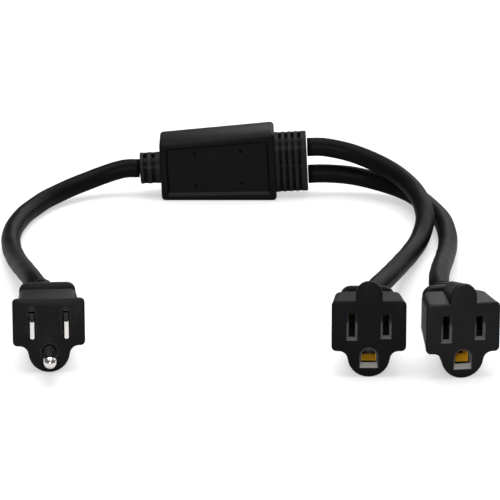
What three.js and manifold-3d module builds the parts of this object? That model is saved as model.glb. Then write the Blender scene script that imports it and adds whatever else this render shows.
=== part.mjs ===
// Power cord splitter: one grounded plug, a junction box, two grounded sockets.
// Millimetres. Z is up, the faces of the plug and the sockets look along -Y.
import * as THREE from 'three';
import { mergeVertices } from 'three/addons/utils/BufferGeometryUtils.js';
import Module from 'manifold-3d';

const wasm = await Module();
wasm.setup();

// Shared sizes
const gap = 0.3;
const bladeSpacing = 12.7;
const bladeAxis = 19.9;
const groundDrop = 11.9;
const groundAxis = bladeAxis - groundDrop;
const cordRadius = 4;
const cordSides = 12;
const cordStep = 9;
const wireRadius = 0.95;
const wireSpread = 2.35;
const wireSides = 6;
const wireStep = 3.5;
const boreRadius = wireSpread + wireRadius + gap;
const throatRadius = 5.6;
const thinWall = 0.6;
const join = 1;
const cutPast = 1;
const faceRound = 0.5;
const flangeRound = 0.6;
const neckCorner = 2;
const ribDepth = 0.6;
const arcStep = 0.62;

// Plug
const bladeThickness = 1.5;
const bladeHeight = 6.35;
const bladeSlack = bladeHeight / 2 + gap + thinWall + gap;
const plug = {
  place: [-77.23, -110], yaw: 3.8, pitch: 5.6, bend: -13.5, rise: 8,
  half: 13.55, bottom: 10.1, top: 28.2, corner: 1.7, lobe: 7.8, lobeAxis: 7.8, fillet: 3.4,
  plate: 2.2,
  grip: [
    { y: 1.6, half: 11.5, bottom: 11.1, top: 27.7 },
    { y: 18, half: 10.9, bottom: 12, top: 27.9 },
    { y: 20.8, half: 9.7, bottom: 13, top: 27.2 },
  ],
  gripCorner: 2.5, lobeBody: 6.9, lobeRear: 5.9,
  neckHalf: 8.7, neckTop: 26, neckBottom: 13.6,
  flangeStart: 23.3, flangeEnd: 26.5, flangeHalf: 10.7, flangeTop: 28.9, flangeBottom: 11.6, flangeCorner: 3.2,
  reliefLength: 19.5, reliefFront: 5.9, reliefRear: 5, ribs: 5,
  pocketStart: 3, pocketHalf: bladeSpacing / 2 + bladeThickness / 2 + gap + thinWall + gap,
  pocketTop: bladeAxis + bladeSlack, pocketBottom: bladeAxis - bladeSlack, channelHalf: 3.3, channelBottom: 4.9,
};
const bladeReach = 16.5;
const bladeTail = 9;
const bladeTip = 0.4;
const bladeTaper = 1;
const pinRadius = 2.4;
const pinReach = 20;
const bridgeThickness = 4.5;
const markHeight = 9;
const markWidth = 3.4;
const markDepth = 0.3;
const pinMarkRadius = 3.3;

// Socket
const slotWidth = 2.35;
const neutralSlot = 9;
const lineSlot = 7.8;
const slotFlare = { side: 0.9, top: 0.6, bottom: 1.2, depth: 1.2 };
const archHalf = 2.65;
const archFlat = 2.6;
const archFlare = { side: 0.9, top: 1, bottom: 1.9, depth: 1.4 };
const mouthPast = 0.5;
const carrierLength = 12.2;
const contactSheet = 0.6;
const contactGap = 0.8;
const contactFlare = 0.2;
const wellHalf = contactGap + contactSheet + contactFlare + gap;
const wellSlack = neutralSlot / 2 + thinWall + gap;
const contactInset = 3.6;
const contactHeight = 6.4;
const contactLength = 7;
const contactTail = 1.6;
const socket = {
  half: 13.95, bottom: 10, top: 29.5, corner: 1.8, lobe: 7.95, lobeAxis: 7.95, fillet: 3.3,
  plate: 2,
  grip: [
    { y: 1.4, half: 13.95, bottom: 10, top: 29.5 },
    { y: 17.5, half: 12.4, bottom: 12.8, top: 27.9 },
    { y: 22, half: 10.4, bottom: 13.8, top: 26.9 },
  ],
  gripCorner: 2.2, lobeBody: 7.95, lobeRear: 6.6,
  neckHalf: 8.9, neckTop: 25.8, neckBottom: 14.2,
  flangeStart: 24.3, flangeEnd: 27.5, flangeHalf: 10.2, flangeTop: 27.7, flangeBottom: 11.9, flangeCorner: 4,
  reliefLength: 13, reliefFront: 5.6, reliefRear: 4.9, ribs: 4,
  pocketStart: 3.5, pocketHalf: bladeSpacing / 2 + wellHalf + thinWall / 2 + gap,
  pocketTop: bladeAxis + wellSlack, pocketBottom: bladeAxis - wellSlack, channelHalf: 3.5, channelBottom: 4.4,
  tabRadius: 5, tabAxis: 32.1, tabRearRadius: 3.6, tabDrop: 6.4,
};
const socketPlaces = [
  { name: 'socket_1', place: [42.22, -115], yaw: 0, pitch: 1.7, bend: 16, rise: 2 },
  { name: 'socket_2', place: [77.22, -116.1], yaw: 9.5, pitch: -1.7, bend: 4, rise: -1 },
];
const groundContactLength = 12;
const groundContactTail = 1.5;
const groundInner = 2.5;

// Junction box
const box = {
  place: [-15.78, 119.1],
  length: 49, leftHeight: 25.4, rightHeight: 29.8, thickness: 20, corner: 1.6, round: 1.1, cordDrop: 0.6,
  chamberHalf: 21, chamberHeight: 20, chamberThickness: 11,
  panelInset: 3.3, panelHeightLeft: 19.4, panelHeightRight: 22, panelDepth: 0.7, panelSlope: 0.9,
  pinHole: 0.8, pinHoleDepth: 1.6, pinX: [-9.6, 10], pinZ: [-6.6, 7.6],
};
const boxTilt = Math.atan((box.rightHeight - box.leftHeight) / 2 / (box.length - 2 * box.corner));
const boxLift = (box.leftHeight + box.rightHeight) / 4;
const inputRelief = { length: 8.8, half: 6.75, core: 5.2, grooves: [2.2, 5.6], grooveWidth: 1.7 };
const outputRelief = { length: 13.6, half: 7.1, core: 5.3, grooves: [1.7, 4.4, 7.1, 9.8], grooveWidth: 1.3 };
const outputSpacing = 12;
const webHalf = 0.9;
const spliceRadius = 2.6;
const spliceLength = 11;
const splicePitch = 5.6;
const spliceWall = 0.5;

// Cord routes, from the junction box to the end of each strain relief
const inputRoute = [
  [-49.31, 119.1, 11.57], [-55.6, 119.1, 11.4], [-65.4, 116.9, 9], [-74.4, 112.4, 6.7], [-81.7, 106, 5.3],
  [-87.5, 98.1, 4.6], [-91.9, 89.2, 4.2], [-95.3, 80, 4.1], [-97.8, 70.4, 4.1], [-99.4, 60.7, 4.1],
  [-100.3, 50.8, 4.1], [-100.2, 40.9, 4.2], [-99.4, 31.1, 4.6], [-98.2, 21.3, 5.3], [-96.7, 11.6, 6.4],
  [-95.2, 1.9, 7.8], [-93.6, -7.7, 9.4], [-92, -17.3, 11.2], [-90.4, -26.9, 13], [-88.7, -36.5, 14.6],
  [-86.9, -46.1, 16.1], [-84.8, -55.7, 17.1], [-82.75, -62.36, 16.89],
];
const output1Route = [
  [22.32, 119.1, 21.02], [29.3, 118.9, 21.1], [39.2, 118, 19.3], [48.5, 114.7, 16.9], [56.3, 108.7, 14.6],
  [62, 100.5, 12.9], [65.9, 91.2, 11.7], [68.4, 81.4, 10.6], [70, 71.5, 9.4], [70.5, 61.4, 8.1],
  [69.7, 51.3, 6.9], [68.1, 41.4, 5.9], [65.9, 31.5, 5.4], [63.5, 21.6, 5.6], [61.3, 11.7, 6.4],
  [59.3, 1.8, 7.8], [57.5, -8.1, 9.4], [55.9, -17.9, 11.2], [54.3, -27.8, 13.1], [52.7, -37.7, 15],
  [51, -47.5, 16.8], [48.8, -57.3, 18.2], [46.1, -67.1, 19], [44.11, -73.8, 18.97],
];
const output2Route = [
  [22.89, 119.1, 9.03], [29.9, 119.3, 9.2], [39.8, 119.5, 8.4], [49.6, 117.9, 6.9], [58.2, 113.7, 5.5],
  [64.9, 107, 4.7], [69.6, 98.3, 4.3], [73.2, 88.2, 4.1], [75.9, 78.6, 4.1], [77.9, 68.8, 4.1],
  [78.9, 58.9, 4.1], [79.2, 48.9, 4.2], [79, 38.9, 4.5], [78.4, 28.9, 5.3], [77.6, 19.1, 6.6],
  [76.7, 9.2, 8.2], [75.8, -0.6, 9.9], [74.9, -10.4, 11.7], [73.9, -20.1, 13.6], [73, -29.9, 15.5],
  [72.1, -39.7, 17.2], [71.3, -49.6, 18.8], [70.7, -59.5, 20.1], [70.4, -69.4, 21], [71.06, -76.39, 20.98],
];

// Colours and finishes
const moulding = { color: 0x17181b, roughness: 0.55, metalness: 0 };
const jacket = { color: 0x131417, roughness: 0.45, metalness: 0 };
const carrierPlastic = { color: 0x3a3c40, roughness: 0.6, metalness: 0 };
const nickel = { color: 0xd8d9db, roughness: 0.22, metalness: 1 };
const brass = { color: 0xd9a53a, roughness: 0.3, metalness: 1 };
const copper = { color: 0xc27c55, roughness: 0.35, metalness: 1 };
const lineColour = { color: 0x202124, roughness: 0.5, metalness: 0 };
const neutralColour = { color: 0xe8e6de, roughness: 0.5, metalness: 0 };
const groundColour = { color: 0x2f7d44, roughness: 0.5, metalness: 0 };

const assembly = new THREE.Group();
assembly.name = 'power_cord_splitter';

// Solids
function toSolid(geometry) {
  const bare = geometry.clone();
  bare.deleteAttribute('normal');
  bare.deleteAttribute('uv');
  const merged = mergeVertices(bare, 1e-4);
  return new wasm.Manifold(new wasm.Mesh({
    numProp: 3,
    vertProperties: new Float32Array(merged.attributes.position.array),
    triVerts: new Uint32Array(merged.index.array),
  }));
}

function toGeometry(solid) {
  const mesh = solid.getMesh();
  const geometry = new THREE.BufferGeometry();
  geometry.setAttribute('position', new THREE.BufferAttribute(mesh.vertProperties, 3));
  geometry.setIndex(new THREE.BufferAttribute(mesh.triVerts, 1));
  return geometry;
}

function joined(...geometries) {
  return geometries.map(toSolid).reduce((sum, solid) => sum.add(solid));
}

function addPiece(name, solid, look, place) {
  const geometry = solid.isBufferGeometry ? solid : toGeometry(solid);
  if (place) geometry.applyMatrix4(place);
  geometry.computeVertexNormals();
  const mesh = new THREE.Mesh(geometry, new THREE.MeshStandardMaterial(look));
  mesh.name = name;
  assembly.add(mesh);
}

// A prism along +Y from an outline drawn as x to the right and y up
function prism(outline, fromY, toY, round = 0) {
  const depth = toY - fromY - 2 * round;
  const geometry = new THREE.ExtrudeGeometry(outline, {
    depth, bevelEnabled: round > 0, bevelThickness: round, bevelSize: round,
    bevelOffset: -round, bevelSegments: 2,
  });
  geometry.rotateX(Math.PI / 2);
  geometry.translate(0, toY - round, 0);
  return geometry;
}

function reshape(geometry, move) {
  const position = geometry.attributes.position;
  const point = new THREE.Vector3();
  for (let i = 0; i < position.count; i += 1) {
    point.fromBufferAttribute(position, i);
    move(point);
    position.setXYZ(i, point.x, point.y, point.z);
  }
  return geometry;
}

function block(fromX, toX, fromY, toY, fromZ, toZ) {
  const geometry = new THREE.BoxGeometry(toX - fromX, toY - fromY, toZ - fromZ);
  geometry.translate((fromX + toX) / 2, (fromY + toY) / 2, (fromZ + toZ) / 2);
  return geometry;
}

// A round bar along +Y
function bar(radius, fromY, toY, x, z, sides = 20, steps = 1) {
  const geometry = new THREE.CylinderGeometry(radius, radius, toY - fromY, sides, steps);
  geometry.translate(x, (fromY + toY) / 2, z);
  return geometry;
}

// Points of an arc, closer together where it is wider
function arc(x, z, radius, from, to) {
  const steps = Math.max(2, Math.ceil(Math.abs(to - from) * Math.sqrt(radius) / arcStep));
  return Array.from({ length: steps + 1 }, (unused, i) => {
    const angle = from + (to - from) * i / steps;
    return new THREE.Vector2(x + radius * Math.cos(angle), z + radius * Math.sin(angle));
  });
}

function roundedOutline(half, bottom, top, corner) {
  return new THREE.Shape([
    ...arc(half - corner, bottom + corner, corner, -Math.PI / 2, 0),
    ...arc(half - corner, top - corner, corner, 0, Math.PI / 2),
    ...arc(corner - half, top - corner, corner, Math.PI / 2, Math.PI),
    ...arc(corner - half, bottom + corner, corner, Math.PI, Math.PI * 1.5),
  ]);
}

// Two half rounds, or one full round where the spacing is nought
function stadiumOutline(half, spacing) {
  const upper = arc(0, spacing / 2, half, 0, Math.PI);
  const lower = arc(0, -spacing / 2, half, Math.PI, Math.PI * 2);
  return new THREE.Shape(spacing > 0 ? [...upper, ...lower] : [...upper.slice(1), ...lower.slice(1)]);
}

// The face outline: a rounded rectangle over a round ground lobe, with a tab on top if it has one
function faceOutline(size) {
  const { half, bottom, top, corner, lobe, lobeAxis, fillet, tabRadius, tabAxis } = size;
  const filletAxis = bottom - fillet;
  const filletX = Math.sqrt((lobe + fillet) ** 2 - (lobeAxis - filletAxis) ** 2);
  const lean = Math.atan2(lobeAxis - filletAxis, filletX);
  const tab = tabRadius
    ? [new THREE.Vector2(tabRadius, top), ...arc(0, tabAxis, tabRadius, 0, Math.PI), new THREE.Vector2(-tabRadius, top)]
    : [];
  return new THREE.Shape([
    ...arc(half - corner, bottom + corner, corner, -Math.PI / 2, 0),
    ...arc(half - corner, top - corner, corner, 0, Math.PI / 2),
    ...tab,
    ...arc(corner - half, top - corner, corner, Math.PI / 2, Math.PI),
    ...arc(corner - half, bottom + corner, corner, Math.PI, Math.PI * 1.5),
    ...arc(-filletX, filletAxis, fillet, Math.PI / 2, lean),
    ...arc(0, lobeAxis, lobe, Math.PI + lean, Math.PI * 2 - lean).slice(1, -1),
    ...arc(filletX, filletAxis, fillet, Math.PI - lean, Math.PI / 2),
  ]);
}

// Everything behind the flange bends on an arc: sideways by bend and upwards by rise
function bender(size, bend, rise) {
  const radius = size.reliefLength / THREE.MathUtils.degToRad(Math.hypot(bend, rise));
  const toward = Math.atan2(rise, bend);
  const [across, up] = [Math.cos(toward), Math.sin(toward)];
  return (point) => {
    const along = point.y - size.flangeEnd;
    if (along <= 0) return;
    const turn = along / radius;
    const height = point.z - bladeAxis;
    const inner = point.x * across + height * up;
    const side = height * across - point.x * up;
    const outer = radius * (1 - Math.cos(turn)) + inner * Math.cos(turn);
    point.x = outer * across - side * up;
    point.y = size.flangeEnd + (radius - inner) * Math.sin(turn);
    point.z = bladeAxis + outer * up + side * across;
  };
}

function reliefBody(size, lean) {
  const start = size.flangeEnd - join;
  const end = size.flangeEnd + size.reliefLength;
  const pitch = size.reliefLength / (size.ribs + 0.5);
  const profile = [new THREE.Vector2(0, start), new THREE.Vector2(size.reliefFront, start)];
  const radiusAt = (y) => THREE.MathUtils.mapLinear(y, start, end, size.reliefFront, size.reliefRear);
  for (let rib = 0; rib < size.ribs; rib += 1) {
    const groove = size.flangeEnd + pitch * (rib + 0.5);
    const width = pitch * 0.4;
    profile.push(new THREE.Vector2(radiusAt(groove), groove));
    profile.push(new THREE.Vector2(radiusAt(groove) - ribDepth, groove + 0.1));
    profile.push(new THREE.Vector2(radiusAt(groove) - ribDepth, groove + width - 0.1));
    profile.push(new THREE.Vector2(radiusAt(groove), groove + width));
  }
  profile.push(new THREE.Vector2(size.reliefRear, end - 0.5));
  profile.push(new THREE.Vector2(size.reliefRear - 0.5, end));
  profile.push(new THREE.Vector2(0, end));
  const geometry = new THREE.LatheGeometry(profile, 20);
  geometry.translate(0, 0, bladeAxis);
  return reshape(geometry, lean);
}

// The bore that carries the three wires from the pocket to the cord, wider where it leaves the pocket
function wireBore(size, lean) {
  const pocketEnd = size.grip.at(-1).y - join;
  const throatEnd = size.flangeEnd - 2;
  const throat = new THREE.CylinderGeometry(boreRadius, throatRadius, throatEnd - pocketEnd + thinWall, 16);
  throat.translate(0, (throatEnd + pocketEnd - thinWall) / 2, bladeAxis);
  const bore = bar(boreRadius, pocketEnd, size.flangeEnd + size.reliefLength + cutPast, 0, bladeAxis, 16, 8);
  return joined(throat, reshape(bore, lean));
}

// The grip behind the face plate, its outline drawn anew at each distance from the face
function gripBody({ grip, gripCorner }) {
  const first = grip[0];
  const steps = grip.length - 1;
  const outline = roundedOutline(first.half, first.bottom, first.top, gripCorner);
  const geometry = new THREE.ExtrudeGeometry(outline, { depth: steps, steps, bevelEnabled: false });
  geometry.rotateX(Math.PI / 2);
  return reshape(geometry, (point) => {
    const at = grip[steps - Math.round(-point.y)];
    point.x *= at.half / first.half;
    point.y = at.y;
    point.z = THREE.MathUtils.mapLinear(point.z, first.bottom, first.top, at.bottom, at.top);
  });
}

// The moulding behind the face, shared by the plug and the sockets
function mouldedBody(size, lean) {
  const gripStart = size.grip[0].y;
  const gripEnd = size.grip.at(-1).y;
  const face = prism(faceOutline(size), 0, size.plate, faceRound);
  const lobe = new THREE.CylinderGeometry(size.lobeRear, size.lobeBody, gripEnd - gripStart, 28);
  lobe.translate(0, (gripEnd + gripStart) / 2, size.lobeAxis);
  const neckOutline = roundedOutline(size.neckHalf, size.neckBottom, size.neckTop, neckCorner);
  const neck = prism(neckOutline, gripEnd - join, size.flangeStart + join);
  const flangeOutline = roundedOutline(size.flangeHalf, size.flangeBottom, size.flangeTop, size.flangeCorner);
  const flange = prism(flangeOutline, size.flangeStart, size.flangeEnd, flangeRound);
  const pocket = block(-size.pocketHalf, size.pocketHalf, size.pocketStart, gripEnd - join,
    size.pocketBottom, size.pocketTop);
  const channel = block(-size.channelHalf, size.channelHalf, size.pocketStart, gripEnd - join,
    size.channelBottom, size.pocketBottom + join);
  return joined(face, gripBody(size), lobe, neck, flange, reliefBody(size, lean))
    .subtract(joined(pocket, channel))
    .subtract(wireBore(size, lean));
}

// Where a fitting lies: turned by yaw, its face tipped up by pitch, and resting on the edge of its plate
function placement({ place, yaw, pitch }, plate) {
  const tip = THREE.MathUtils.degToRad(pitch);
  const matrix = new THREE.Matrix4().makeRotationZ(THREE.MathUtils.degToRad(yaw));
  matrix.multiply(new THREE.Matrix4().makeRotationX(-tip));
  return matrix.setPosition(place[0], place[1], Math.max(0, (plate - faceRound / 2) * Math.sin(tip)));
}

function circleOutline(radius, sides) {
  return new THREE.Shape(Array.from({ length: sides }, (unused, side) => {
    const angle = (side + 0.5) / sides * Math.PI * 2;
    return new THREE.Vector2(radius * Math.cos(angle), radius * Math.sin(angle));
  }));
}

function tube(points, radius, sides, step) {
  const curve = new THREE.CatmullRomCurve3(points, false, 'centripetal');
  const steps = Math.max(2, Math.round(curve.getLength() / step));
  return new THREE.ExtrudeGeometry(circleOutline(radius, sides), { steps, extrudePath: curve });
}

// Three wires of one end fitting: from the cord, side by side, to the line, neutral and ground tails
function fittingWires(name, size, lean, place, tails) {
  const end = size.flangeEnd + size.reliefLength;
  const looks = { line: lineColour, neutral: neutralColour, ground: groundColour };
  const lanes = { line: tails.line.x > 0 ? wireSpread : -wireSpread, ground: 0 };
  lanes.neutral = -lanes.line;
  for (const [wire, tail] of Object.entries(tails)) {
    const lane = lanes[wire];
    const gripEnd = size.grip.at(-1).y;
    const knee = wire === 'ground' ? [new THREE.Vector3(0, gripEnd - 2.4, bladeAxis - 5.5)] : [];
    const along = [gripEnd + 1.5, size.flangeEnd, (size.flangeEnd + end) / 2, end];
    const points = [
      tail, tail.clone().add(new THREE.Vector3(0, 1.1, 0)), ...knee,
      ...along.map((y) => new THREE.Vector3(lane, y, bladeAxis)),
    ];
    points.forEach(lean);
    addPiece(`${name}_${wire}_wire`, toSolid(tube(points, wireRadius, wireSides, wireStep)), looks[wire], place);
  }
}

// The plug
function addPlug() {
  const place = placement(plug, plug.plate);
  const lean = bender(plug, plug.bend, plug.rise);
  const bladeX = { line: bladeSpacing / 2, neutral: -bladeSpacing / 2 };
  const slotEnd = plug.pocketStart + gap + bridgeThickness + cutPast;
  let body = mouldedBody(plug, lean);
  let bridge = joined(
    block(gap - plug.pocketHalf, plug.pocketHalf - gap, plug.pocketStart + gap,
      plug.pocketStart + gap + bridgeThickness, plug.pocketBottom + gap, plug.pocketTop - gap),
    block(gap - plug.channelHalf, plug.channelHalf - gap, plug.pocketStart + gap,
      plug.pocketStart + gap + bridgeThickness, plug.channelBottom + gap, plug.pocketBottom + join),
  );
  for (const [wire, x] of Object.entries(bladeX)) {
    const slot = block(x - bladeThickness / 2 - gap, x + bladeThickness / 2 + gap, -cutPast, slotEnd,
      bladeAxis - bladeHeight / 2 - gap, bladeAxis + bladeHeight / 2 + gap);
    const mark = block(x - markWidth / 2, x + markWidth / 2, -cutPast, markDepth,
      bladeAxis - markHeight / 2, bladeAxis + markHeight / 2);
    body = body.subtract(joined(slot, mark));
    bridge = bridge.subtract(toSolid(slot));
    const blade = reshape(block(x - bladeThickness / 2, x + bladeThickness / 2, -bladeReach, bladeTail,
      bladeAxis - bladeHeight / 2, bladeAxis + bladeHeight / 2), (point) => {
      if (point.y < 0) point.x = x + Math.sign(point.x - x) * (bladeThickness / 2 - bladeTip);
    });
    const shank = block(x - bladeThickness / 2, x + bladeThickness / 2, bladeTaper - bladeReach, bladeTail,
      bladeAxis - bladeHeight / 2, bladeAxis + bladeHeight / 2);
    addPiece(`plug_${wire}_blade`, joined(blade, shank), nickel, place);
  }
  const pinSlot = bar(pinRadius + gap, -cutPast, slotEnd, 0, groundAxis);
  const pinMark = bar(pinMarkRadius, -cutPast, markDepth, 0, groundAxis);
  body = body.subtract(joined(pinSlot, pinMark));
  bridge = bridge.subtract(toSolid(pinSlot));
  const pinProfile = [[0, -pinReach], [0.9, -pinReach + 0.15], [1.7, -pinReach + 0.8], [2.2, -pinReach + 1.6],
    [pinRadius, -pinReach + 2.6], [pinRadius, bladeTail], [0, bladeTail]];
  const pin = new THREE.LatheGeometry(pinProfile.map(([r, y]) => new THREE.Vector2(r, y)), 20);
  pin.translate(0, 0, groundAxis);
  addPiece('plug_body', body, moulding, place);
  addPiece('plug_blade_bridge', bridge, carrierPlastic, place);
  addPiece('plug_ground_pin', toSolid(pin), nickel, place);
  fittingWires('plug', plug, lean, place, {
    line: new THREE.Vector3(bladeX.line, bladeTail + gap, bladeAxis),
    neutral: new THREE.Vector3(bladeX.neutral, bladeTail + gap, bladeAxis),
    ground: new THREE.Vector3(0, bladeTail + gap, groundAxis),
  });
}

// Widens the open end of a cut, in front of the face, so that its mouth flares by the given sizes at the face
function flared(geometry, flare, half, bottom, top) {
  const beyond = (flare.depth + mouthPast) / flare.depth;
  return reshape(geometry, (point) => {
    if (point.y > 0) return;
    point.x *= (half + flare.side * beyond) / half;
    point.z *= point.z > 0 ? (top + flare.top * beyond) / top : (bottom + flare.bottom * beyond) / bottom;
  });
}

// A rectangular slot with a flared mouth
function flaredSlot(x, height, through) {
  const half = slotWidth / 2;
  const tall = height / 2;
  const mouth = flared(block(-half, half, -mouthPast, slotFlare.depth, -tall, tall), slotFlare, half, tall, tall);
  const slot = joined(mouth, block(-half, half, -cutPast, through, -tall, tall));
  return slot.translate([x, 0, bladeAxis]);
}

// The ground hole: round on top, flat at the bottom, with a flared mouth
function groundHole(through) {
  const arch = new THREE.Shape([
    new THREE.Vector2(-archHalf, -archFlat), new THREE.Vector2(archHalf, -archFlat),
    ...arc(0, 0, archHalf, 0, Math.PI),
  ]);
  const mouth = flared(prism(arch, -mouthPast, archFlare.depth), archFlare, archHalf, archFlat, archHalf);
  return joined(mouth, prism(arch, -cutPast, through)).translate([0, 0, groundAxis]);
}

// A folded sheet clip seen from above: two leaves, a back wall and a tail
function bladeContact(x, start) {
  const end = start + contactLength;
  const inner = contactGap;
  const outer = contactGap + contactSheet;
  const clip = new THREE.Shape([
    [-outer - contactFlare, start], [-outer, start + 2], [-outer, end], [-contactSheet, end],
    [-contactSheet, end + contactTail], [contactSheet, end + contactTail], [contactSheet, end], [outer, end],
    [outer, start + 2], [outer + contactFlare, start], [inner + contactFlare, start], [inner, start + 2],
    [inner, end - contactSheet], [-inner, end - contactSheet], [-inner, start + 2], [-inner - contactFlare, start],
  ].map(([px, py]) => new THREE.Vector2(px, py)));
  const geometry = new THREE.ExtrudeGeometry(clip, { depth: contactHeight, bevelEnabled: false });
  geometry.translate(x, 0, bladeAxis - contactHeight / 2);
  return toSolid(geometry);
}

// The ground contact: a trough under the pin with a back wall and a tail
function groundContact(start, floor) {
  const end = start + groundContactLength;
  const outer = groundInner + contactSheet;
  const rim = floor + contactSheet + 2 * groundInner;
  return joined(
    block(-outer, outer, start, end, floor, floor + contactSheet),
    block(-outer, -groundInner, start, end, floor, rim),
    block(groundInner, outer, start, end, floor, rim),
    block(-outer, outer, end - contactSheet, end, floor, rim),
    block(-contactSheet, contactSheet, end - contactSheet, end + groundContactTail, groundAxis - 1, groundAxis + 1),
  );
}

// A socket
function addSocket(copy) {
  const { name } = copy;
  const place = placement(copy, socket.plate);
  const lean = bender(socket, copy.bend, copy.rise);
  const slotX = { neutral: -bladeSpacing / 2, line: bladeSpacing / 2 };
  const slotHeight = { neutral: neutralSlot, line: lineSlot };
  const carrierStart = socket.pocketStart + gap;
  const carrierEnd = carrierStart + carrierLength;
  const tabOutline = new THREE.Shape([
    new THREE.Vector2(-socket.tabRadius, socket.pocketTop + thinWall),
    new THREE.Vector2(socket.tabRadius, socket.pocketTop + thinWall),
    ...arc(0, socket.tabAxis, socket.tabRadius, 0, Math.PI),
  ]);
  const tab = reshape(prism(tabOutline, socket.grip[0].y, socket.grip.at(-1).y), (point) => {
    if (point.y < socket.plate) return;
    point.x *= socket.tabRearRadius / socket.tabRadius;
    if (point.z > socket.top) point.z -= socket.tabDrop;
  });
  let body = mouldedBody(socket, lean).add(toSolid(tab));
  let carrier = toSolid(block(gap - socket.pocketHalf, socket.pocketHalf - gap, carrierStart, carrierEnd,
    socket.pocketBottom + gap, socket.pocketTop - gap));
  for (const [wire, x] of Object.entries(slotX)) {
    body = body.subtract(flaredSlot(x, slotHeight[wire], socket.pocketStart + cutPast));
    const well = block(x - wellHalf, x + wellHalf, carrierStart - cutPast, carrierEnd + cutPast,
      bladeAxis - neutralSlot / 2, bladeAxis + neutralSlot / 2);
    carrier = carrier.subtract(toSolid(well));
    addPiece(`${name}_${wire}_contact`, bladeContact(x, carrierStart + contactInset), brass, place);
  }
  body = body.subtract(groundHole(socket.pocketStart + cutPast));
  addPiece(`${name}_body`, body, moulding, place);
  addPiece(`${name}_contact_carrier`, carrier, carrierPlastic, place);
  addPiece(`${name}_ground_contact`, groundContact(carrierStart, socket.channelBottom + gap), brass, place);
  const tailY = carrierStart + contactInset + contactLength + contactTail + gap;
  fittingWires(name, socket, lean, place, {
    line: new THREE.Vector3(slotX.line, tailY, bladeAxis),
    neutral: new THREE.Vector3(slotX.neutral, tailY, bladeAxis),
    ground: new THREE.Vector3(0, carrierStart + groundContactLength + groundContactTail + gap, groundAxis),
  });
}

// Junction box, drawn level about its long axis and then tipped onto its lower side
const boxPlace = new THREE.Matrix4().makeRotationY(-boxTilt)
  .premultiply(new THREE.Matrix4().makeTranslation(box.place[0], box.place[1], boxLift * Math.cos(boxTilt)));

function boxOutline(inset, leftHeight, rightHeight, corner) {
  const x = box.length / 2 - inset;
  const left = leftHeight / 2;
  const right = rightHeight / 2;
  return new THREE.Shape([
    ...arc(x - corner, corner - right, corner, -Math.PI / 2, 0),
    ...arc(x - corner, right - corner, corner, 0, Math.PI / 2),
    ...arc(corner - x, left - corner, corner, Math.PI / 2, Math.PI),
    ...arc(corner - x, corner - left, corner, Math.PI, Math.PI * 1.5),
  ]);
}

// A strain relief of the box along +X: a core, a stack of ribs and four webs that tie them
function boxRelief(relief, side, spacing) {
  const start = box.length / 2 - join;
  const end = box.length / 2 + relief.length;
  const lay = (geometry) => geometry.rotateZ(-side * Math.PI / 2);
  const core = prism(stadiumOutline(relief.core, spacing), start, end - 1);
  const pieces = [lay(core)];
  const edges = [start, ...relief.grooves.flatMap((at) => [
    box.length / 2 + at, box.length / 2 + at + relief.grooveWidth]), end];
  for (let rib = 0; rib < edges.length; rib += 2) {
    const round = rib === edges.length - 2 ? 0.4 : 0;
    pieces.push(lay(prism(stadiumOutline(relief.half, spacing), edges[rib], edges[rib + 1], round)));
  }
  const reach = relief.half - 0.15;
  pieces.push(lay(block(-reach, reach, start, end - 1, -webHalf, webHalf)));
  pieces.push(lay(block(-webHalf, webHalf, start, end - 1, -reach - spacing / 2, reach + spacing / 2)));
  return joined(...pieces).translate([0, 0, -box.cordDrop]);
}

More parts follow.
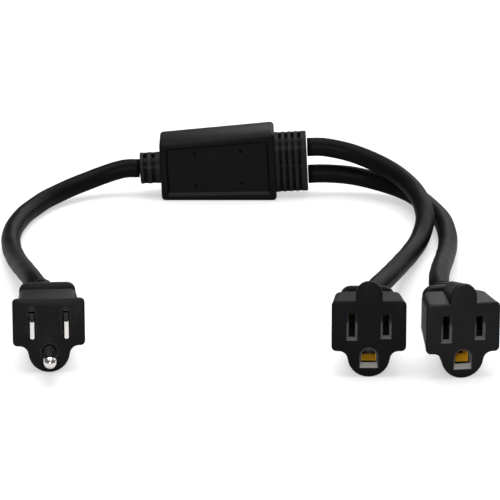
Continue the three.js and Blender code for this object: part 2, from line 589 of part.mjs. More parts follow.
function addJunction() {
  const halfThickness = box.thickness / 2;
  const shell = prism(boxOutline(0, box.leftHeight, box.rightHeight, box.corner),
    -halfThickness, halfThickness, box.round);
  const panel = reshape(prism(boxOutline(box.panelInset, box.panelHeightLeft, box.panelHeightRight, 1.2),
    -halfThickness - 0.5, -halfThickness + box.panelDepth), (point) => {
    if (point.y > -halfThickness) return;
    point.x += Math.sign(point.x) * box.panelSlope;
    point.z += Math.sign(point.z) * box.panelSlope;
  });
  const chamber = block(-box.chamberHalf, box.chamberHalf, -box.chamberThickness / 2, box.chamberThickness / 2,
    -box.chamberHeight / 2, box.chamberHeight / 2);
  const bore = (side, z, length) => {
    const hole = bar(boreRadius, box.chamberHalf - join, box.length / 2 + length + cutPast, 0, z - box.cordDrop, 16);
    return hole.rotateZ(-side * Math.PI / 2);
  };
  let body = joined(shell)
    .add(boxRelief(inputRelief, -1, 0))
    .add(boxRelief(outputRelief, 1, outputSpacing))
    .subtract(joined(panel, chamber, bore(-1, 0, inputRelief.length)))
    .subtract(joined(bore(1, outputSpacing / 2, outputRelief.length), bore(1, -outputSpacing / 2, outputRelief.length)));
  for (const x of box.pinX) {
    for (const z of box.pinZ) {
      body = body.subtract(toSolid(bar(box.pinHole, -halfThickness - 1,
        box.panelDepth + box.pinHoleDepth - halfThickness, x, z, 12)));
    }
  }
  addPiece('junction_box', body, moulding, boxPlace);

  const wires = [
    { wire: 'line', look: lineColour, level: splicePitch, lane: wireSpread },
    { wire: 'neutral', look: neutralColour, level: 0, lane: 0 },
    { wire: 'ground', look: groundColour, level: -splicePitch, lane: -wireSpread },
  ];
  const spliceEnd = spliceLength / 2;
  const inputEnd = box.length / 2 + inputRelief.length;
  const outputEnd = box.length / 2 + outputRelief.length;
  const run = (...points) => toSolid(tube(points.map(([x, y, z]) => new THREE.Vector3(x, y, z)),
    wireRadius, wireSides, wireStep));
  for (const { wire, look, level, lane } of wires) {
    const sleeve = new THREE.LatheGeometry([
      [spliceRadius - spliceWall, -spliceEnd], [spliceRadius, -spliceEnd], [spliceRadius, spliceEnd],
      [spliceRadius - spliceWall, spliceEnd], [spliceRadius - spliceWall, 0.5], [0, 0.5], [0, -0.5],
      [spliceRadius - spliceWall, -0.5], [spliceRadius - spliceWall, -spliceEnd],
    ].map(([r, y]) => new THREE.Vector2(r, y)), 16);
    sleeve.rotateZ(Math.PI / 2).translate(0, 0, level);
    addPiece(`junction_${wire}_splice`, toSolid(sleeve), copper, boxPlace);
    const inputZ = lane - box.cordDrop;
    addPiece(`junction_input_${wire}_wire`, run([-inputEnd, 0, inputZ], [-box.length / 2, 0, inputZ],
      [-box.chamberHalf, 0, inputZ], [-spliceEnd - 4, 0, level], [-0.5 - gap, 0, level]), look, boxPlace);
    for (const output of [1, 2]) {
      const side = output === 1 ? -1.3 : 1.3;
      const z = (output === 1 ? 1 : -1) * outputSpacing / 2 - box.cordDrop;
      addPiece(`junction_output_${output}_${wire}_wire`, run([outputEnd, 0, z + lane], [box.length / 2, 0, z + lane],
        [box.chamberHalf, 0, z + lane], [box.chamberHalf - 3, side * 0.8, z + lane * 1.05],
        [spliceEnd + 2, side, level], [spliceEnd, side * 0.8, level], [0.5 + gap, side * 0.8, level]), look, boxPlace);
    }
  }
}

// The cords
function addCord(name, route) {
  const points = route.map(([x, y, z]) => new THREE.Vector3(x, y, z));
  addPiece(name, toSolid(tube(points, cordRadius, cordSides, cordStep)), jacket);
}

addPlug();
socketPlaces.forEach(addSocket);
addJunction();
addCord('input_cord', inputRoute);
addCord('output_cord_1', output1Route);
addCord('output_cord_2', output2Route);

export default assembly;
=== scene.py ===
"""Dresses the power cord splitter: satin black mouldings, sheened cords, nickel blades and brass contacts."""
import bmesh
import bpy
import math
import numpy as np
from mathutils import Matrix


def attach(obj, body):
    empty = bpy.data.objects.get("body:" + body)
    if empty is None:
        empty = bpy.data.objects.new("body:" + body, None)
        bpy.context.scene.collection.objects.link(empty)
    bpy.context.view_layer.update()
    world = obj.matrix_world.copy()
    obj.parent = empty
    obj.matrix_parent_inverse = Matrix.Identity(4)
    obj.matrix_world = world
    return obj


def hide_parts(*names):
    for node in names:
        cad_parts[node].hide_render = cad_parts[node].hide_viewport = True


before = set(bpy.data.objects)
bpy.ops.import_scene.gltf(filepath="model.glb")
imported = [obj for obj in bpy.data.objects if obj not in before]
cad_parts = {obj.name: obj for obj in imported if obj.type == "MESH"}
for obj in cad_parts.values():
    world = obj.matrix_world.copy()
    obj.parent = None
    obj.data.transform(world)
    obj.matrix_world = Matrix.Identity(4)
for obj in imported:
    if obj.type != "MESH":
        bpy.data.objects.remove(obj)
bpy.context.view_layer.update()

TO_MM = 1000.0

# Camera: above the table, looking along +Y and down
CAMERA_PLACE = (-0.0021, -1.5308, 0.5045)
CAMERA_DOWN = 17.8
FOCAL_PIXELS = 4020
FRAME_PIXELS = 500


def make_camera():
    """A long lens that looks down on the part from the front."""
    data = bpy.data.cameras.new("view_camera")
    data.lens = FOCAL_PIXELS / FRAME_PIXELS * data.sensor_width
    camera = bpy.data.objects.new("view_camera", data)
    camera.location = CAMERA_PLACE
    camera.rotation_euler = (math.radians(90 - CAMERA_DOWN), 0, 0)
    bpy.context.scene.collection.objects.link(camera)
    bpy.context.scene.camera = camera


make_camera()


# Shader writing
class Socket:
    """One output of a node, with the operators that build Math nodes."""

    def __init__(self, shader, out):
        self.shader = shader
        self.out = out

    def math(self, operation, other=None, swap=False):
        values = [self, other] if other is not None else [self]
        if swap:
            values.reverse()
        return self.shader.node("ShaderNodeMath", {"operation": operation}, values)

    def __add__(self, other):
        return self.math("ADD", other)

    def __radd__(self, other):
        return self.math("ADD", other, True)

    def __sub__(self, other):
        return self.math("SUBTRACT", other)

    def __rsub__(self, other):
        return self.math("SUBTRACT", other, True)

    def __mul__(self, other):
        return self.math("MULTIPLY", other)

    def __pow__(self, other):
        return self.math("POWER", other)

    def __gt__(self, other):
        return self.math("GREATER_THAN", other)

    def __lt__(self, other):
        return self.math("LESS_THAN", other)

    def within(self, middle, half):
        """One where the value lies less than half from the middle, nought elsewhere."""
        return (self - middle).math("ABSOLUTE") < half

    def between(self, low, high):
        return self.within((low + high) / 2, (high - low) / 2)

    def clamp(self):
        return self.shader.node("ShaderNodeClamp", {}, [self, 0.0, 1.0])


class Shader:
    """A material under one Principled shader."""

    def __init__(self, name):
        self.material = bpy.data.materials.new(name)
        self.material.use_nodes = True
        self.tree = self.material.node_tree
        self.tree.nodes.clear()
        output = self.tree.nodes.new("ShaderNodeOutputMaterial")
        self.surface = self.tree.nodes.new("ShaderNodeBsdfPrincipled")
        self.tree.links.new(self.surface.outputs[0], output.inputs["Surface"])

    def node(self, kind, settings=None, inputs=None, out=0):
        """Adds a node: settings first, then values or links, by place or by name."""
        made = self.tree.nodes.new(kind)
        for key, value in (settings or {}).items():
            setattr(made, key, value)
        pairs = inputs.items() if isinstance(inputs, dict) else enumerate(inputs or [])
        for key, value in pairs:
            if isinstance(value, Socket):
                self.tree.links.new(value.out, made.inputs[key])
            elif value is not None:
                made.inputs[key].default_value = value
        return Socket(self, made.outputs[out])

    def place(self):
        return self.node("ShaderNodeTexCoord", out="Object")

    def own_uv(self):
        return self.node("ShaderNodeUVMap", {"uv_map": "along"})

    def scaled(self, vector, scale):
        return self.node("ShaderNodeVectorMath", {"operation": "MULTIPLY"}, [vector, scale])

    def split(self, vector):
        """The three coordinates of a vector in millimetres."""
        parts = self.node("ShaderNodeSeparateXYZ", {}, [vector])
        return [Socket(self, parts.out.node.outputs[axis]) * TO_MM for axis in range(3)]

    def local(self, vector, fitting):
        """A fitting's own coordinates in millimetres: across it, back from its place, and up."""
        x, y, z = self.split(vector)
        yaw = math.radians(fitting["yaw"])
        pitch = math.radians(fitting["pitch"])
        x, y = x - fitting["place"][0], y - fitting["place"][1]
        across = x * math.cos(yaw) + y * math.sin(yaw)
        level = y * math.cos(yaw) - x * math.sin(yaw)
        behind = level * math.cos(pitch) - z * math.sin(pitch)
        return across, behind, level * math.sin(pitch) + z * math.cos(pitch)

    def noise(self, vector, scale, detail=3.0, rough=0.5):
        return self.node("ShaderNodeTexNoise", {}, {"Vector": vector, "Scale": scale, "Detail": detail,
                                                    "Roughness": rough})

    def grains(self, vector, scale):
        return self.node("ShaderNodeTexVoronoi", {}, {"Vector": vector, "Scale": scale})

    def blend(self, factor, first, second):
        """Mixes two colours by a factor."""
        made = self.tree.nodes.new("ShaderNodeMix")
        made.data_type = "RGBA"
        for key, value in ((0, factor), (6, first), (7, second)):
            if isinstance(value, Socket):
                self.tree.links.new(value.out, made.inputs[key])
            else:
                made.inputs[key].default_value = value if key == 0 else (*value[:3], 1)
        return Socket(self, made.outputs[2])

    def bump(self, height, strength, distance):
        return self.node("ShaderNodeBump", {}, {"Height": height, "Strength": strength, "Distance": distance})

    def finish(self, **sockets):
        for name, value in sockets.items():
            target = self.surface.inputs[name.replace("_", " ")]
            if isinstance(value, Socket):
                self.tree.links.new(value.out, target)
            else:
                target.default_value = value
        return self.material


# Where the fittings lie: place in millimetres, yaw and pitch in degrees
PLUG = {"place": (-77.23, -110.0), "yaw": 3.8, "pitch": 5.6}
SOCKET_1 = {"place": (42.22, -115.0), "yaw": 0.0, "pitch": 1.7}
SOCKET_2 = {"place": (77.22, -116.1), "yaw": 9.5, "pitch": -1.7}
BOX = {"place": (-15.78, 119.1), "yaw": 0.0, "pitch": 0.0}

# Places and half sizes of the marks on the faces, in millimetres, among them the painted highlights on the
# socket rims; a rim ends at a depth behind the face
BLADE_X = 6.35
BLADE_Z = 19.9
GROUND_Z = 8.0
RIM_START = 0.06
SLOT_RIM = {"half": 2.3, "tall": 6.3, "end": 1.26}
HOLE_RIM = {"half": 3.8, "tall": 4.6, "end": 1.46}
LIP = {"half": 3.2, "tall": 1.1, "below": 3.5}
LIT_BELOW = BLADE_Z + 2.2
MARK_DEPTH = 0.5
MARK_OUTSIDE = {"half": 1.85, "tall": 4.65}
MARK_INSIDE = {"half": 1.6, "tall": 4.4}
PIN_MARK = {"radius": 3.3, "line": 0.14}

# The junction box's lean, and its places and half sizes in millimetres
BOX_LEAN = math.radians(2.75)
BOX_MIDDLE = 13.8
BOX_END = 24.5
RELIEF_START = 24.6
BOX_FRONT = -9.0
OUTPUT_GROOVES = {"starts": (1.7, 4.4, 7.1, 9.8), "half": 0.65, "side": 1}
INPUT_GROOVES = {"starts": (2.2, 5.6), "half": 0.85, "side": -1}
PANEL = {"end": 21.5, "tall": 10.35, "taper": 0.031}
LOW_EDGE = {"outward": 0.4, "half": 0.75, "longer": 0.1}
HIGH_EDGE = {"outward": 0.2, "half": 0.5, "longer": -0.1}
END_EDGE = {"half": 0.5, "longer": 0.6}

# Colours of the marks: painted highlights on the socket rims and on the box's ribs and low bevel, painted
# shade in the box's grooves and in the ground holes, and the plug's outline
RIM_HIGHLIGHT = (0.085, 0.085, 0.09)
LIP_HIGHLIGHT = (0.22, 0.21, 0.195)
MARK_GREY = (0.045, 0.045, 0.048)
RIB_HIGHLIGHT = (0.014, 0.014, 0.0155)
SHADE_BLACK = (0.0004, 0.0004, 0.0005)
BEVEL_HIGHLIGHT = (0.018, 0.018, 0.02)
HOLE_SHADE = (0.01, 0.006, 0.002)


def socket_rim_highlights(s, local, colour):
    """Painted highlights: the bevelled rims of the slots and of the ground hole are painted pale, most of all
    at their lower edges.
    """
    across, behind, above = local
    side = across.math("ABSOLUTE")
    lit = ((LIT_BELOW - above) * 0.5).clamp() * 0.8 + 0.2
    slot = side.within(BLADE_X, SLOT_RIM["half"]) * above.within(BLADE_Z, SLOT_RIM["tall"])
    slot = slot * behind.between(RIM_START, SLOT_RIM["end"])
    mouth = behind.between(RIM_START, HOLE_RIM["end"])
    hole = (side < HOLE_RIM["half"]) * above.within(GROUND_Z, HOLE_RIM["tall"]) * mouth
    lip = (side < LIP["half"]) * above.within(GROUND_Z - LIP["below"], LIP["tall"]) * mouth
    # Painted highlights: pale grey on the slot and hole rims, and paler still on the hole's lower lip
    rims = s.blend(hole * 0.85, s.blend(slot * lit, colour, RIM_HIGHLIGHT), RIM_HIGHLIGHT)
    return s.blend(lip, rims, LIP_HIGHLIGHT)


def plug_marks(s, local, colour):
    """The shallow recesses about the blades and the pin have a thin paler outline."""
    across, behind, above = local
    side = across.math("ABSOLUTE")
    shallow = behind.within(0.0, MARK_DEPTH)
    outside, inside = (side.within(BLADE_X, mark["half"]) * above.within(BLADE_Z, mark["tall"])
                       for mark in (MARK_OUTSIDE, MARK_INSIDE))
    far = (across * across + (above - GROUND_Z) * (above - GROUND_Z)) ** 0.5
    ring = far.within(PIN_MARK["radius"], PIN_MARK["line"])
    return s.blend(((outside - inside).clamp() + ring).clamp() * shallow * 0.5, colour, MARK_GREY)


def relief_grooves(x, grooves):
    """One in the grooves of a strain relief, where x runs along the box, nought elsewhere."""
    half, side = grooves["half"], grooves["side"]
    return sum(x.within(side * (BOX_END + start + half), half) for start in grooves["starts"])


def box_shading(s, local, colour):
    """Painted highlights on the ribs of the reliefs over painted shade in their grooves, and painted light on
    the panel's bevel: pale below and dark elsewhere.
    """
    across, behind, above = local
    x = across * math.cos(BOX_LEAN) + (above - BOX_MIDDLE) * math.sin(BOX_LEAN)
    z = (above - BOX_MIDDLE) * math.cos(BOX_LEAN) - across * math.sin(BOX_LEAN)
    side = x.math("ABSOLUTE")
    relief = side > RELIEF_START
    groove = relief_grooves(x, OUTPUT_GROOVES) + relief_grooves(x, INPUT_GROOVES)
    front = behind < BOX_FRONT
    tall = x * PANEL["taper"] + PANEL["tall"]
    low = (z + tall + LOW_EDGE["outward"]).within(0.0, LOW_EDGE["half"])
    low = low * (side < PANEL["end"] + LOW_EDGE["longer"]) * front
    high = (z - tall - HIGH_EDGE["outward"]).within(0.0, HIGH_EDGE["half"])
    high = high * (side < PANEL["end"] + HIGH_EDGE["longer"]) * front
    ends = side.within(PANEL["end"], END_EDGE["half"])
    ends = ends * (z.math("ABSOLUTE") < tall + END_EDGE["longer"]) * front
    # Painted highlights on the ribs; painted shade in the grooves and on the panel bevel's upper edge and
    # ends; a painted highlight on its lower edge
    ribs = s.blend(relief * (1.0 - groove).clamp() * 0.8, colour, RIB_HIGHLIGHT)
    dark = s.blend((groove * relief + high + ends).clamp() * 0.85, ribs, SHADE_BLACK)
    return s.blend(low * 0.8, dark, BEVEL_HIGHLIGHT)


def moulded_vinyl(name, dark, light, shine, fitting=None, marks=None):
    """Satin black moulded vinyl: fine spark-eroded grain, faint clouding and a few dull rubbed patches."""
    s = Shader(name)
    place = s.place()
    clouds = s.noise(place, 60.0, 3.0, 0.6)
    grain = s.noise(place, 2600.0, 2.0, 0.7)
    pits = s.grains(place, 1500.0)
    rubbed = ((s.noise(place, 140.0, 4.0, 0.65) - 0.56) * 5.0).clamp()
    colour = s.blend((clouds * 0.8 + rubbed * 0.35).clamp(), dark, light)
    if marks:
        colour = marks(s, s.local(place, fitting), colour)
    rough = 0.38 + clouds * 0.08 + rubbed * 0.08 + grain * 0.06
    relief = grain * 0.6 + pits * 0.4 + clouds * 0.5
    return s.finish(Base_Color=colour, Roughness=rough, Normal=s.bump(relief, 0.35, 0.00006),
                    Specular_IOR_Level=shine)


def cord_jacket(name, dark, light):
    """Extruded vinyl jacket: long faint draw lines, soft lumps from the twisted wires, light dust."""
    s = Shader(name)
    along = s.own_uv()
    place = s.place()
    lines = s.noise(s.scaled(along, (90.0, 14.0, 1.0)), 1.0, 3.0, 0.6)
    lumps = s.noise(s.scaled(along, (3.0, 120.0, 1.0)), 1.0, 2.0, 0.5)
    grain = s.noise(place, 2200.0, 2.0, 0.65)
    dust = ((s.noise(place, 420.0, 3.0, 0.7) - 0.62) * 6.0).clamp()
    colour = s.blend((lines * 0.55 + dust * 0.35).clamp(), dark, light)
    rough = 0.36 + lines * 0.08 + grain * 0.05 + dust * 0.08
    relief = lines * 0.5 + lumps * 0.3 + grain * 0.3
    return s.finish(Base_Color=colour, Roughness=rough, Normal=s.bump(relief, 0.25, 0.00005),
                    Specular_IOR_Level=0.04)


def plated_nickel(name):
    """Bright plated brass: fine draw marks along the blade, a few dull rub marks."""
    s = Shader(name)
    place = s.place()
    drawn = s.noise(s.scaled(place, (2600.0, 60.0, 900.0)), 1.0, 3.0, 0.6)
    stains = ((s.noise(place, 260.0, 4.0, 0.6) - 0.5) * 4.0).clamp()
    colour = s.blend(stains * 0.4, (0.93, 0.9, 0.87), (0.78, 0.74, 0.7))
    rough = 0.07 + drawn * 0.07 + stains * 0.07
    return s.finish(Base_Color=colour, Roughness=rough, Metallic=1.0, Normal=s.bump(drawn, 0.2, 0.00003))


def brass_sheet(name, bright, brown, metallic, dark_from=None):
    """Stamped brass: roll lines, a thin brown tarnish, and painted shade deep in the hole."""
    s = Shader(name)
    place = s.place()
    rolled = s.noise(s.scaled(place, (900.0, 90.0, 900.0)), 1.0, 3.0, 0.6)
    tarnish = ((s.noise(place, 380.0, 4.0, 0.65) - 0.5) * 4.0).clamp()
    colour = s.blend(tarnish * 0.6, bright, brown)
    if dark_from is not None:
        # Painted shade: darker the deeper the point lies along Y in the ground hole
        depth = s.split(place)[1]
        colour = s.blend((depth - dark_from).clamp(), colour, HOLE_SHADE)
    rough = 0.2 + rolled * 0.15 + tarnish * 0.2
    return s.finish(Base_Color=colour, Roughness=rough, Metallic=metallic,
                    Normal=s.bump(rolled, 0.2, 0.00003))


def crimp_copper(name):
    """Plain crimped copper: brown oxide clouds over a warm red metal."""
    s = Shader(name)
    place = s.place()
    oxide = ((s.noise(place, 300.0, 4.0, 0.65) - 0.45) * 3.0).clamp()
    ring = s.noise(s.scaled(place, (900.0, 200.0, 200.0)), 1.0, 2.0, 0.5)
    colour = s.blend(oxide * 0.7, (0.72, 0.38, 0.24), (0.32, 0.16, 0.1))
    return s.finish(Base_Color=colour, Roughness=0.28 + oxide * 0.25 + ring * 0.08, Metallic=1.0,
                    Normal=s.bump(ring, 0.2, 0.00003))


def hard_plastic(name, dark, light):
    """Hard moulded carrier plastic: even grain with pale flow marks."""
    s = Shader(name)
    place = s.place()
    flow = s.noise(s.scaled(place, (120.0, 300.0, 120.0)), 1.0, 3.0, 0.6)
    grain = s.noise(place, 1800.0, 2.0, 0.6)
    return s.finish(Base_Color=s.blend(flow, dark, light), Roughness=0.48 + flow * 0.14 + grain * 0.05,
                    Normal=s.bump(grain, 0.25, 0.00004))


def wire_insulation(name, dark, light):
    """Thin wire insulation: soft gloss, slight colour drift and handling marks."""
    s = Shader(name)
    place = s.place()
    drift = s.noise(place, 90.0, 3.0, 0.5)
    marks = ((s.noise(place, 700.0, 3.0, 0.7) - 0.6) * 5.0).clamp()
    return s.finish(Base_Color=s.blend((drift * 0.7 + marks * 0.3).clamp(), dark, light),
                    Roughness=0.34 + drift * 0.12 + marks * 0.14, Normal=s.bump(marks + drift, 0.2, 0.00004))


# Finishes
DARK_VINYL = (0.0034, 0.0034, 0.004)
LIGHT_VINYL = (0.0078, 0.0078, 0.0088)
DARK_BOX = (0.0022, 0.0022, 0.0026)
LIGHT_BOX = (0.005, 0.005, 0.0058)
GOLD = (1.0, 0.58, 0.03)
DEEP_GOLD = (0.9, 0.47, 0.02)
# How far along Y, in millimetres, the painted shade in each ground hole begins
HOLE_DARK_1 = -103.2
HOLE_DARK_2 = -104.4

plug_vinyl = moulded_vinyl("plug_vinyl", DARK_VINYL, LIGHT_VINYL, 0.1, PLUG, plug_marks)
socket_1_vinyl = moulded_vinyl("socket_1_vinyl", DARK_VINYL, LIGHT_VINYL, 0.05, SOCKET_1, socket_rim_highlights)
socket_2_vinyl = moulded_vinyl("socket_2_vinyl", DARK_VINYL, LIGHT_VINYL, 0.14, SOCKET_2, socket_rim_highlights)
box_vinyl = moulded_vinyl("box_vinyl", DARK_BOX, LIGHT_BOX, 0.08, BOX, box_shading)
jacket = cord_jacket("cord_jacket", (0.0028, 0.0028, 0.0034), (0.0066, 0.0066, 0.0078))
nickel = plated_nickel("plated_nickel")
ground_brass_1 = brass_sheet("ground_brass_1", GOLD, DEEP_GOLD, 0.25, HOLE_DARK_1)
ground_brass_2 = brass_sheet("ground_brass_2", GOLD, DEEP_GOLD, 0.25, HOLE_DARK_2)
# Painted shade: the line and neutral contacts sit in the dark slots, so their brass is made near black
shaded_brass = brass_sheet("shaded_brass", (0.014, 0.009, 0.004), (0.007, 0.005, 0.003), 1.0)
copper = crimp_copper("crimp_copper")
carrier = hard_plastic("carrier_plastic", (0.0035, 0.0036, 0.004), (0.007, 0.0072, 0.008))
line_insulation = wire_insulation("line_insulation", (0.012, 0.012, 0.013), (0.03, 0.03, 0.032))
neutral_insulation = wire_insulation("neutral_insulation", (0.62, 0.6, 0.54), (0.78, 0.76, 0.7))
ground_insulation = wire_insulation("ground_insulation", (0.02, 0.17, 0.05), (0.05, 0.26, 0.1))


# Surfaces
def ring_faces(rows, columns):
    """Quads between neighbouring points of rings, the last point of each ring joined to its first."""
    row = np.arange(rows - 1)[:, None]
    column = np.arange(columns)[None, :]
    after = (column + 1) % columns
    here, beyond = row * columns, (row + 1) * columns
    corners = [here + column, here + after, beyond + after, beyond + column]
    return np.stack([np.broadcast_to(c, (rows - 1, column.size)) for c in corners], -1).reshape(-1, 4)


def make_piece(name, points, faces, material, uv=None):
    """A mesh from arrays of points and faces, shaded smooth."""
    mesh = bpy.data.meshes.new(name)
    mesh.from_pydata(points.tolist(), [], [list(face) for face in faces])
    mesh.polygons.foreach_set("use_smooth", np.ones(len(mesh.polygons), bool))
    if uv is not None:
        layer = mesh.uv_layers.new(name="along")
        corner = np.zeros(len(mesh.loops), np.int32)
        mesh.loops.foreach_get("vertex_index", corner)
        layer.data.foreach_set("uv", uv[corner].astype(np.float32).ravel())
    mesh.materials.append(material)
    mesh.update()
    piece = bpy.data.objects.new(name, mesh)
    bpy.context.scene.collection.objects.link(piece)
    return piece


def smooth_route(points, step):
    """Centripetal Catmull-Rom curve through the route's points, sampled at equal steps along its length."""
    points = np.array(points, float)
    points = np.vstack([2 * points[0] - points[1], points, 2 * points[-1] - points[-2]])
    fine = []
    t = np.linspace(0, 1, 24, endpoint=False)[:, None]
    for p0, p1, p2, p3 in zip(points, points[1:], points[2:], points[3:]):
        d1, d2, d3 = (np.linalg.norm(b - a) ** 0.5 for a, b in ((p0, p1), (p1, p2), (p2, p3)))
        m1 = ((p1 - p0) / d1 - (p2 - p0) / (d1 + d2) + (p2 - p1) / d2) * d2
        m2 = ((p2 - p1) / d2 - (p3 - p1) / (d2 + d3) + (p3 - p2) / d3) * d2
        fine.append(p1 + m1 * t + (3 * (p2 - p1) - 2 * m1 - m2) * t ** 2 + (2 * (p1 - p2) + m1 + m2) * t ** 3)
    fine = np.vstack(fine + [points[-2][None]])
    length = np.r_[0, np.cumsum(np.linalg.norm(np.diff(fine, axis=0), axis=1))]
    marks = np.linspace(0, length[-1], max(2, round(length[-1] / step)) + 1)
    return np.stack([np.interp(marks, length, fine[:, axis]) for axis in range(3)], 1), marks


def sweep_frames(path):
    """Unit tangents with a sideways and an upward direction, carried along without twist."""
    tangent = np.gradient(path, axis=0)
    tangent /= np.linalg.norm(tangent, axis=1)[:, None]
    side = np.cross(tangent, (0.0, 0.0, 1.0))
    side /= np.linalg.norm(side, axis=1)[:, None]
    return tangent, side, np.cross(side, tangent)


# Cords: the routes of the source and the other sizes, in metres
CORD_DIAMETER = 0.008
ROUTES = {
    "input_cord": [
        (-0.04931, 0.1191, 0.01157), (-0.0556, 0.1191, 0.0114), (-0.0654, 0.1169, 0.009),
        (-0.0744, 0.1124, 0.0067), (-0.0817, 0.106, 0.0053), (-0.0875, 0.0981, 0.0046),
        (-0.0919, 0.0892, 0.0042), (-0.0953, 0.08, 0.0041), (-0.0978, 0.0704, 0.0041),
        (-0.0994, 0.0607, 0.0041), (-0.1003, 0.0508, 0.0041), (-0.1002, 0.0409, 0.0042),
        (-0.0994, 0.0311, 0.0046), (-0.0982, 0.0213, 0.0053), (-0.0967, 0.0116, 0.0064),
        (-0.0952, 0.0019, 0.0078), (-0.0936, -0.0077, 0.0094), (-0.092, -0.0173, 0.0112),
        (-0.0904, -0.0269, 0.013), (-0.0887, -0.0365, 0.0146), (-0.0869, -0.0461, 0.0161),
        (-0.0848, -0.0557, 0.0171), (-0.08275, -0.06236, 0.01689)],
    "output_cord_1": [
        (0.02232, 0.1191, 0.02102), (0.0293, 0.1189, 0.0211), (0.0392, 0.118, 0.0193),
        (0.0485, 0.1147, 0.0169), (0.0563, 0.1087, 0.0146), (0.062, 0.1005, 0.0129),
        (0.0659, 0.0912, 0.0117), (0.0684, 0.0814, 0.0106), (0.07, 0.0715, 0.0094),
        (0.0705, 0.0614, 0.0081), (0.0697, 0.0513, 0.0069), (0.0681, 0.0414, 0.0059),
        (0.0659, 0.0315, 0.0054), (0.0635, 0.0216, 0.0056), (0.0613, 0.0117, 0.0064),
        (0.0593, 0.0018, 0.0078), (0.0575, -0.0081, 0.0094), (0.0559, -0.0179, 0.0112),
        (0.0543, -0.0278, 0.0131), (0.0527, -0.0377, 0.015), (0.051, -0.0475, 0.0168),
        (0.0488, -0.0573, 0.0182), (0.0461, -0.0671, 0.019), (0.04411, -0.0738, 0.01897)],
    "output_cord_2": [
        (0.02289, 0.1191, 0.00903), (0.0299, 0.1193, 0.0092), (0.0398, 0.1195, 0.0084),
        (0.0496, 0.1179, 0.0069), (0.0582, 0.1137, 0.0055), (0.0649, 0.107, 0.0047),
        (0.0696, 0.0983, 0.0043), (0.0732, 0.0882, 0.0041), (0.0759, 0.0786, 0.0041),
        (0.0779, 0.0688, 0.0041), (0.0789, 0.0589, 0.0041), (0.0792, 0.0489, 0.0042),
        (0.079, 0.0389, 0.0045), (0.0784, 0.0289, 0.0053), (0.0776, 0.0191, 0.0066),
        (0.0767, 0.0092, 0.0082), (0.0758, -0.0006, 0.0099), (0.0749, -0.0104, 0.0117),
        (0.0739, -0.0201, 0.0136), (0.073, -0.0299, 0.0155), (0.0721, -0.0397, 0.0172),
        (0.0713, -0.0496, 0.0188), (0.0707, -0.0595, 0.0201), (0.0704, -0.0694, 0.021),
        (0.07106, -0.07639, 0.02098)],
}
CORD_SIDES = 40
ROUTE_STEP = 0.0022
PLAIN_END = 0.012
UV_LENGTH = 0.05
TWIST_PITCH = 0.062
TWIST_DEPTH = 0.00004


def make_cord(name, route):
    """Tube about the route, with the faint lobes of three twisted wires, which fade at its ends.

    Between the ends, at a length s along the cord:
    radius = r - depth + depth * cos(3 * (angle - 2 pi s / pitch))
    """
    path, along = smooth_route(route, ROUTE_STEP)
    tangent, side, up = sweep_frames(path)
    angle = np.linspace(0, 2 * np.pi, CORD_SIDES, endpoint=False)[None, :]
    lobes = np.cos(3 * (angle - 2 * np.pi * along[:, None] / TWIST_PITCH))
    ends = np.minimum(1, np.minimum(along, along[-1] - along) / PLAIN_END)[:, None]
    radius = CORD_DIAMETER / 2 - TWIST_DEPTH + TWIST_DEPTH * lobes * ends
    ring = side[:, None] * np.cos(angle)[..., None] + up[:, None] * np.sin(angle)[..., None]
    points = path[:, None] + ring * radius[..., None]
    rows = len(path)
    faces = ring_faces(rows, CORD_SIDES)[:, ::-1].tolist()
    first = list(range(CORD_SIDES))
    faces += [first, [(rows - 1) * CORD_SIDES + i for i in reversed(first)]]
    uv = np.stack(np.broadcast_arrays(angle / (2 * np.pi), along[:, None] / UV_LENGTH), -1).reshape(-1, 2)
    piece = make_piece(name + "_jacket", points.reshape(-1, 3), faces, jacket, uv)
    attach(piece, "root")
    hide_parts(name)


for cord_name, cord_route in ROUTES.items():
    make_cord(cord_name, cord_route)


# Rounded copies of the solids
WELD_DISTANCE = 2e-6
FLAT_ANGLE = math.radians(1.5)
SHARP_ANGLE = math.radians(32)
EDGE_ROUND = 0.00022
PIN_ROUND = 0.0001


def rounded_copy(node, material, width):
    """The node's own solid with welded corners, its sharp edges rounded and its curves shaded smooth."""
    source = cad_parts[node]
    mesh = source.data.copy()
    mesh.name = node + "_finished"
    welded = bmesh.new()
    welded.from_mesh(mesh)
    bmesh.ops.remove_doubles(welded, verts=welded.verts, dist=WELD_DISTANCE)
    bmesh.ops.dissolve_limit(welded, angle_limit=FLAT_ANGLE, verts=welded.verts, edges=welded.edges)
    for face in welded.faces:
        face.smooth = True
    for edge in welded.edges:
        edge.smooth = edge.calc_face_angle(0.0) < SHARP_ANGLE
    welded.to_mesh(mesh)
    welded.free()
    mesh.materials.clear()
    mesh.materials.append(material)
    piece = bpy.data.objects.new(node + "_finished", mesh)
    bpy.context.scene.collection.objects.link(piece)
    bevel = piece.modifiers.new("rounding", "BEVEL")
    bevel.width = width
    bevel.segments = 2
    bevel.limit_method = "ANGLE"
    bevel.angle_limit = SHARP_ANGLE
    bevel.use_clamp_overlap = True
    bevel.harden_normals = True
    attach(piece, "root")
    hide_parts(node)


rounded_copy("plug_body", plug_vinyl, EDGE_ROUND)
rounded_copy("socket_1_body", socket_1_vinyl, EDGE_ROUND)
rounded_copy("socket_2_body", socket_2_vinyl, EDGE_ROUND)
rounded_copy("junction_box", box_vinyl, EDGE_ROUND)
rounded_copy("plug_ground_pin", nickel, PIN_ROUND)


# Materials of the nodes that keep their solids
def dress(names, material):
    for name in names:
        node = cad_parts[name]
        node.data.materials.clear()
        node.data.materials.append(material)


def nodes_with(*words):
    return [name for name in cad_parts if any(word in name for word in words)]


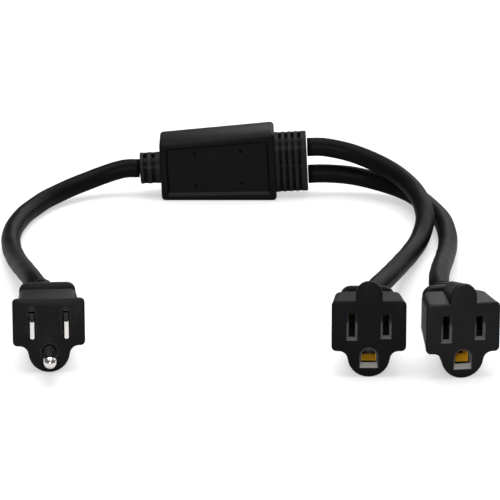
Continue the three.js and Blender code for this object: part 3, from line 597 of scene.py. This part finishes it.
dress(nodes_with("_blade"), nickel)
dress(nodes_with("line_contact", "neutral_contact"), shaded_brass)
dress(["socket_1_ground_contact"], ground_brass_1)
dress(["socket_2_ground_contact"], ground_brass_2)
dress(nodes_with("_bridge", "_carrier"), carrier)
dress(nodes_with("_splice"), copper)
dress(nodes_with("line_wire"), line_insulation)
dress(nodes_with("neutral_wire"), neutral_insulation)
dress(nodes_with("ground_wire"), ground_insulation)


# Floor and light
FLOOR_REACH = 6.0
FLOOR_GREY = (0.54, 0.54, 0.54)
FLOOR_PALE_GREY = (0.56, 0.56, 0.56)
FLOOR_SEEN = (0.46, 0.46, 0.46)


def make_floor():
    """A table top that the camera sees as white, with a soft shadow on it."""
    s = Shader("pale_table")
    place = s.place()
    cloud = s.noise(place, 2.0, 2.0, 0.5)
    seen = s.node("ShaderNodeLightPath")
    s.finish(Base_Color=s.blend(cloud, FLOOR_GREY, FLOOR_PALE_GREY), Roughness=0.9, Specular_IOR_Level=0.0,
             Emission_Color=s.blend(seen, (0, 0, 0), FLOOR_SEEN), Emission_Strength=1.0)
    points = np.array([(-1, -1, 0), (1, -1, 0), (1, 1, 0), (-1, 1, 0)]) * FLOOR_REACH
    floor = make_piece("table_top", points, [(0, 1, 2, 3)], s.material)


def make_area(name, place, aim, size, power):
    """A rectangular lamp that faces its aim: place, aim and size in metres, power in watts."""
    data = bpy.data.lights.new(name, "AREA")
    data.shape = "RECTANGLE"
    data.size, data.size_y = size
    data.energy = power
    lamp = bpy.data.objects.new(name, data)
    lamp.location = place
    direction = np.array(aim, float) - np.array(place, float)
    flat = math.hypot(direction[0], direction[1])
    lamp.rotation_euler = (math.atan2(flat, -direction[2]), 0, math.atan2(-direction[0], direction[1]))
    bpy.context.scene.collection.objects.link(lamp)


WORLD_LIGHT = 0.45
WORLD_IN_REFLECTIONS = 0.14


def make_world():
    """Even white light, dimmer where it is seen in reflections."""
    world = bpy.data.worlds.new("studio")
    bpy.context.scene.world = world
    world.use_nodes = True
    tree = world.node_tree
    tree.nodes.clear()
    path = tree.nodes.new("ShaderNodeLightPath")
    mix = tree.nodes.new("ShaderNodeMixShader")
    output = tree.nodes.new("ShaderNodeOutputWorld")
    for place, strength in ((1, WORLD_LIGHT), (2, WORLD_IN_REFLECTIONS)):
        background = tree.nodes.new("ShaderNodeBackground")
        background.inputs["Color"].default_value = (1, 1, 1, 1)
        background.inputs["Strength"].default_value = strength
        tree.links.new(background.outputs[0], mix.inputs[place])
    tree.links.new(path.outputs["Is Glossy Ray"], mix.inputs[0])
    tree.links.new(mix.outputs[0], output.inputs["Surface"])


make_floor()
make_world()
make_area("overhead_light", (0.0, 0.3, 1.6), (0, 0, 0), (1.6, 1.6), 30)
make_area("back_light", (0.9, 2.1, 0.8), (0, 0, 0.02), (2.2, 0.4), 11)
make_area("front_light", (0.0, -1.5, 0.62), (0, 0, 0.02), (0.35, 0.35), 12)
bpy.context.scene.view_settings.view_transform = "Standard"
